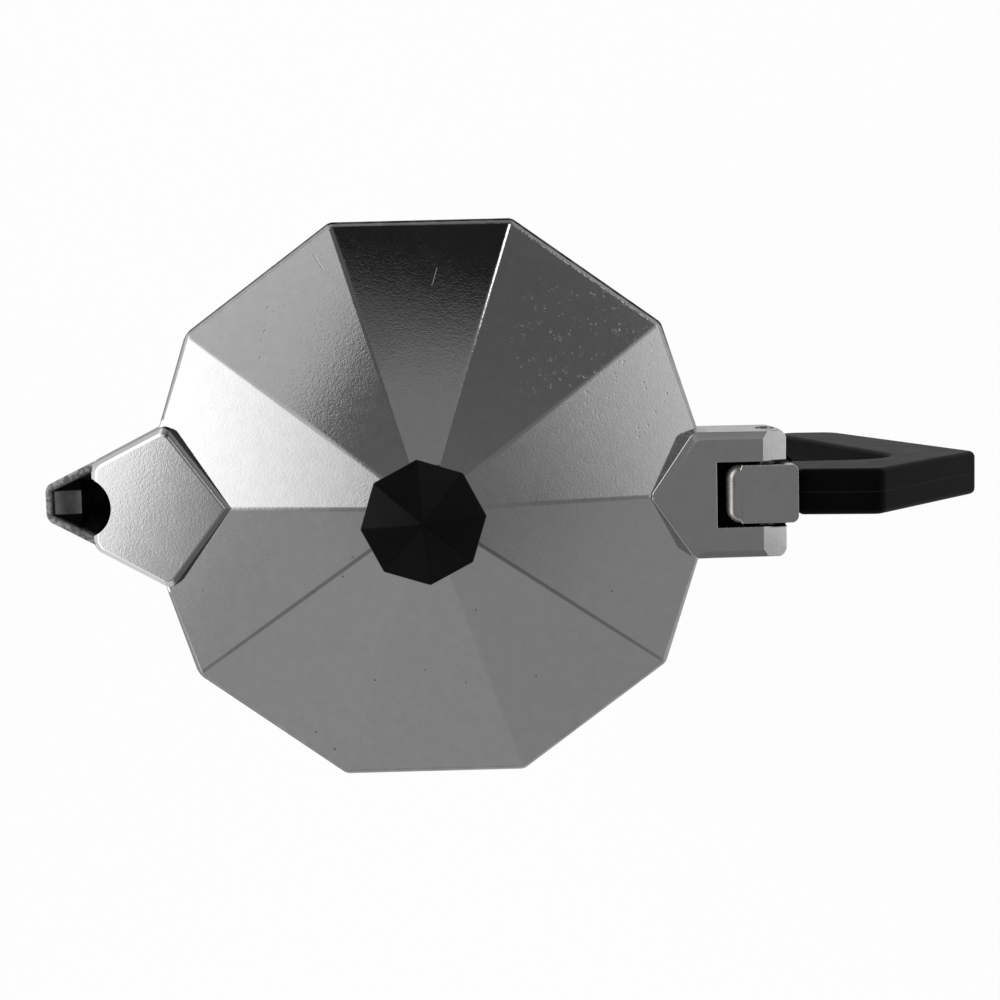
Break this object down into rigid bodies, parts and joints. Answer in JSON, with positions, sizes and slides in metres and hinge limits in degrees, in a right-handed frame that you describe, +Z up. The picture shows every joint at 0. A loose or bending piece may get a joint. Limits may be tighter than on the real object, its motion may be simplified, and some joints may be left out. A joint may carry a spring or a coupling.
{
  "type": "moka pot",
  "caption": "Ten-sided stovetop coffee maker: boiler with safety valve, screw-on collector with spout, hinged lid with knob, and a side handle.",
  "frame": {"origin": "middle of the boiler's foot, on the surface that the pot stands on", "axes": "+Z up along the pot's axis, +X towards the handle, -X towards the spout, -Y towards the safety valve"},
  "size_m": [0.207, 0.1293, 0.2438],
  "materials": {
    "cast_aluminium": "satin, cast and buffed",
    "sheet_aluminium": "spun sheet, fine turning lines",
    "bakelite": "black moulded, half gloss",
    "rubber": "matt, off-white",
    "fibre": "matt red-brown fibre",
    "brass": "turned",
    "steel": "bright drawn"
  },
  "bodies": {
    "boiler": {"boiler": "cast_aluminium", "safety_valve_body": "brass", "safety_valve_cap": "brass", "safety_valve_washer": "fibre", "safety_valve_spring": "steel", "funnel": "sheet_aluminium", "funnel_screen": "sheet_aluminium"},
    "valve_plunger": {"safety_valve_plunger": "steel", "safety_valve_seal": "rubber"},
    "gasket_and_filter": {"gasket": "rubber", "filter_plate": "sheet_aluminium"},
    "collector": {"collector": "cast_aluminium", "riser_column": "cast_aluminium", "handle": "bakelite", "handle_screw": "steel", "hinge_pin": "steel"},
    "lid": {"lid": "cast_aluminium", "lid_knob": "bakelite", "knob_insert": "brass", "knob_washer": "steel", "knob_screw": "steel"}
  },
  "joints": [
    {"name": "thread_lift", "type": "slide", "parent": "boiler", "child": "gasket_and_filter", "axis": [0, 0, 1], "range_m": [0, 0.009]},
    {"name": "unscrew", "type": "hinge", "parent": "gasket_and_filter", "child": "collector", "pos_m": [0, 0, 0.1], "axis": [0, 0, 1], "range_deg": [0, 810]},
    {"name": "lid_hinge", "type": "hinge", "parent": "collector", "child": "lid", "pos_m": [0.0716, 0, 0.2011], "axis": [0, 1, 0], "range_deg": [0, 110]},
    {"name": "valve_lift", "type": "slide", "parent": "boiler", "child": "valve_plunger", "axis": [0, -1, 0], "range_m": [0, 0.0018], "stiffness_N_per_m": 400, "springref_m": -0.008, "deforming": ["safety_valve_spring"]}
  ],
  "couplings": [
    {"joint": "thread_lift", "follows": "unscrew", "m_per_rad": 0.00063662}
  ]
}
